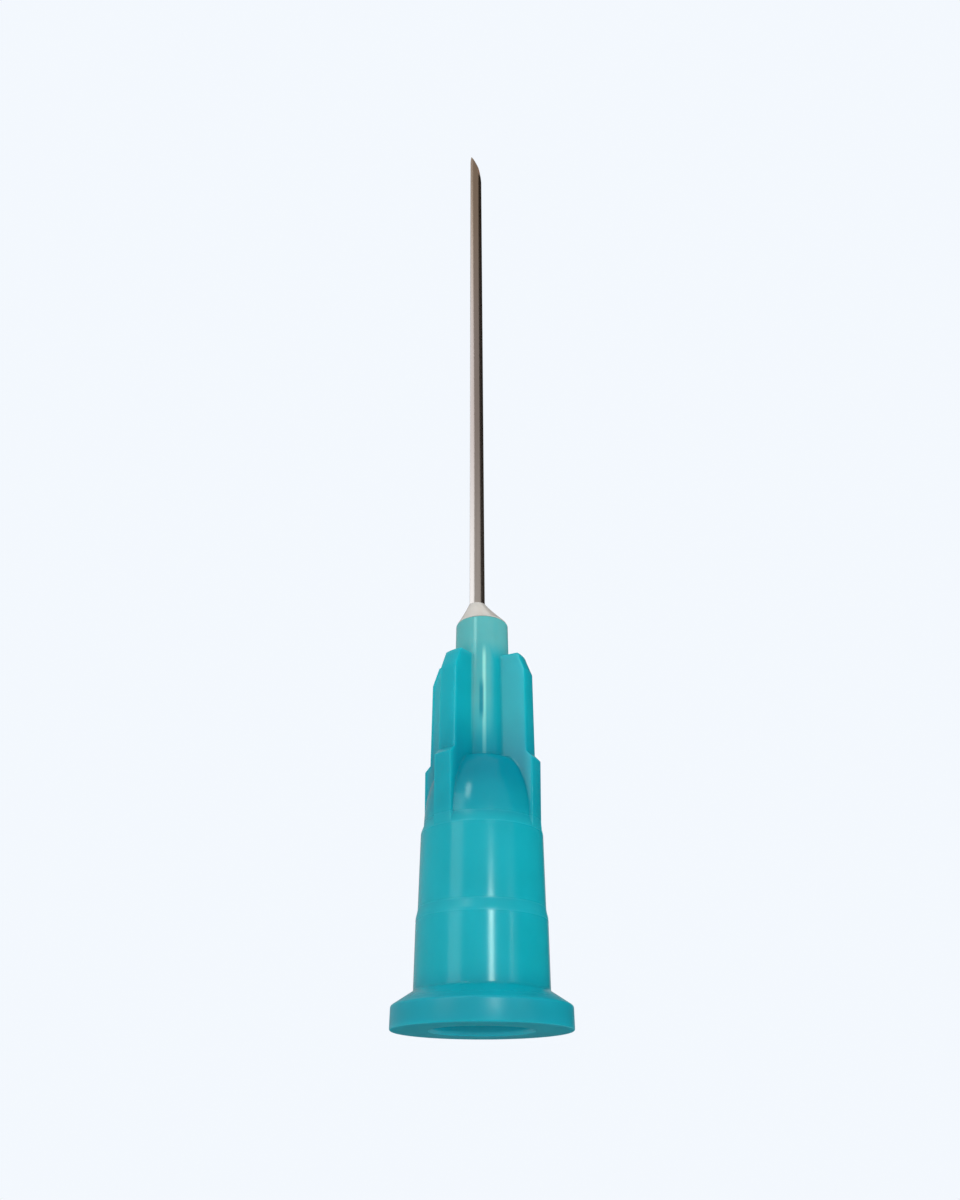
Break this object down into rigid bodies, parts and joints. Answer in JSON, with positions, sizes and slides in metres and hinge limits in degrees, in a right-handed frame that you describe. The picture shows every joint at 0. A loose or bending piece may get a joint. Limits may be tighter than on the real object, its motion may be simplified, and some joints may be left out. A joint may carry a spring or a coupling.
{
  "type": "hypodermic needle",
  "caption": "Hypodermic needle: a bevelled steel cannula bonded in a translucent moulded hub with fins, a Luer socket and a round flange.",
  "frame": {"origin": "centre of the flange's flat underside, on the hub's axis", "axes": "+Z along the hub's axis towards the point, -Y towards the side the picture shows"},
  "size_m": [0.0078, 0.0078, 0.0587],
  "materials": {
    "hub_plastic": "translucent coloured polypropylene, moulded",
    "cannula_steel": "drawn and polished stainless tube",
    "adhesive_resin": "cured translucent resin"
  },
  "bodies": {
    "root": {"hub": "hub_plastic", "cannula": "cannula_steel", "adhesive": "adhesive_resin"}
  },
  "joints": []
}
